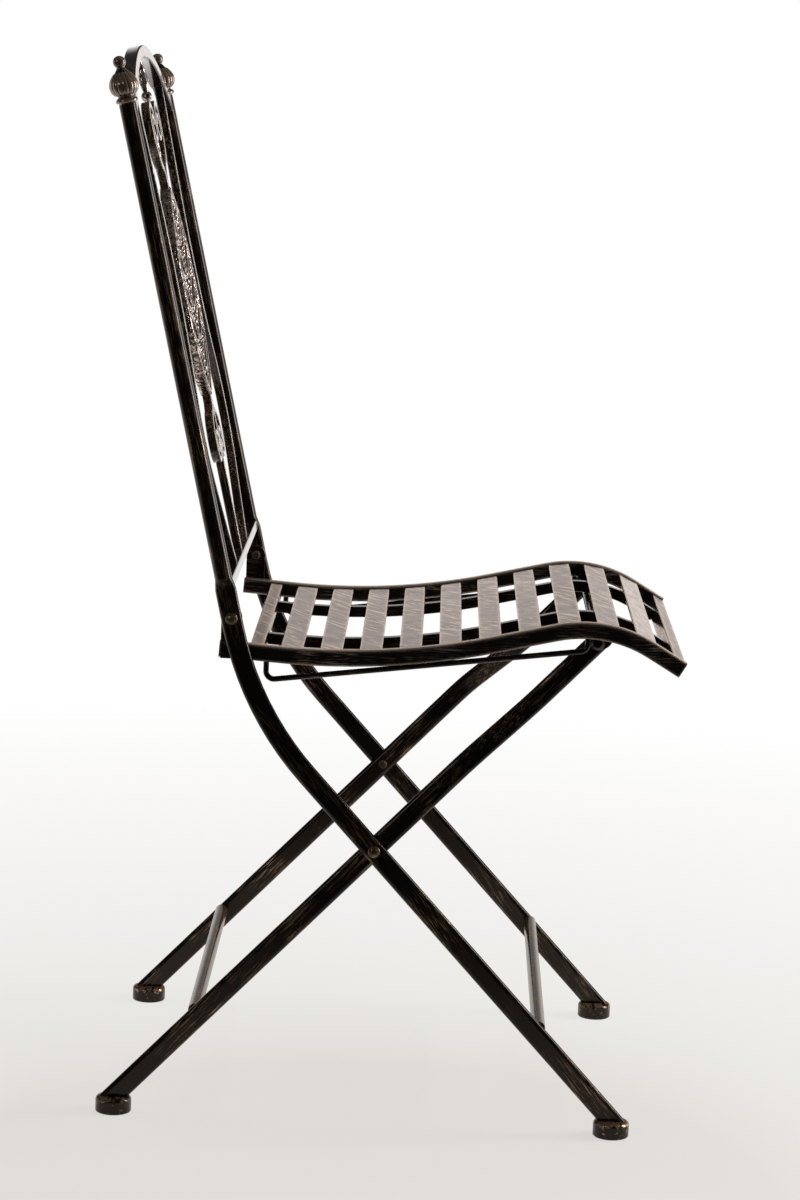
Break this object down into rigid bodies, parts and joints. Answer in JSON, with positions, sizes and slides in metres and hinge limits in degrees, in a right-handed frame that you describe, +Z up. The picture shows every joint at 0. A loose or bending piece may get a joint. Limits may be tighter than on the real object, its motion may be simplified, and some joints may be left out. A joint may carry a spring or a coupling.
{
  "type": "folding garden chair",
  "caption": "Folding iron garden chair with a slatted seat, crossed flat legs on round feet and a scrolled back with a cast leaf panel between ball-topped posts.",
  "frame": {"origin": "middle of the chair on the floor, half way between its front and rear ends and its two sides", "axes": "+X to the front of the chair, +Z up, +Y to the left of a person who sits on it"},
  "size_m": [0.5182, 0.418, 0.9384],
  "materials": {
    "frame_paint": "satin near-black paint, rubbed to bronze on edges",
    "seat_paint": "satin brown-grey paint with fine brushed scratches",
    "ornament_paint": "satin dark paint with bronze on raised parts",
    "rivet_paint": "satin dark paint with worn rims",
    "foot_paint": "satin dark paint with worn rims"
  },
  "bodies": {
    "frame": {"back_crossbar": "frame_paint", "back_panel": "ornament_paint", "centre_bar": "frame_paint", "crest_arch": "frame_paint", "finial_left": "ornament_paint", "finial_right": "ornament_paint", "front_foot_left": "foot_paint", "front_foot_right": "foot_paint", "front_stretcher": "frame_paint", "leg_rivets": "rivet_paint", "leg_washers": "rivet_paint", "lower_scroll_left": "ornament_paint", "lower_scroll_right": "ornament_paint", "lyre_bar_left": "frame_paint", "lyre_bar_right": "frame_paint", "seat_rivets": "rivet_paint", "side_tube_left": "frame_paint", "side_tube_right": "frame_paint", "spear_ornament": "ornament_paint", "upper_scroll_left": "ornament_paint", "upper_scroll_right": "ornament_paint"},
    "seat": {"ear_bracket_left": "frame_paint", "ear_bracket_right": "frame_paint", "guide_wire_left": "frame_paint", "guide_wire_right": "frame_paint", "seat_bearer_left": "frame_paint", "seat_bearer_right": "frame_paint", "seat_front_rail": "seat_paint", "seat_rail_left": "frame_paint", "seat_rail_right": "frame_paint", "seat_rear_rail": "seat_paint", "seat_slat_01": "seat_paint", "seat_slat_02": "seat_paint", "seat_slat_03": "seat_paint", "seat_slat_04": "seat_paint", "seat_slat_05": "seat_paint", "seat_slat_06": "seat_paint", "seat_slat_07": "seat_paint", "seat_slat_08": "seat_paint", "seat_slat_09": "seat_paint", "seat_slat_10": "seat_paint"},
    "rear_legs": {"guide_rod": "frame_paint", "rear_foot_left": "foot_paint", "rear_foot_right": "foot_paint", "rear_leg_left": "frame_paint", "rear_leg_right": "frame_paint", "rear_stretcher": "frame_paint"}
  },
  "joints": [
    {"name": "seat_fold", "type": "hinge", "parent": "frame", "child": "seat", "pos_m": [-0.1394, 0, 0.451], "axis": [0, -1, 0], "range_deg": [0, 95]},
    {"name": "rear_legs_fold", "type": "hinge", "parent": "frame", "child": "rear_legs", "pos_m": [-0.0074, 0, 0.2492], "axis": [0, -1, 0], "range_deg": [0, 63.65]}
  ],
  "couplings": [
    {"joint": "rear_legs_fold", "follows": "seat_fold", "ratio": 0.67}
  ]
}
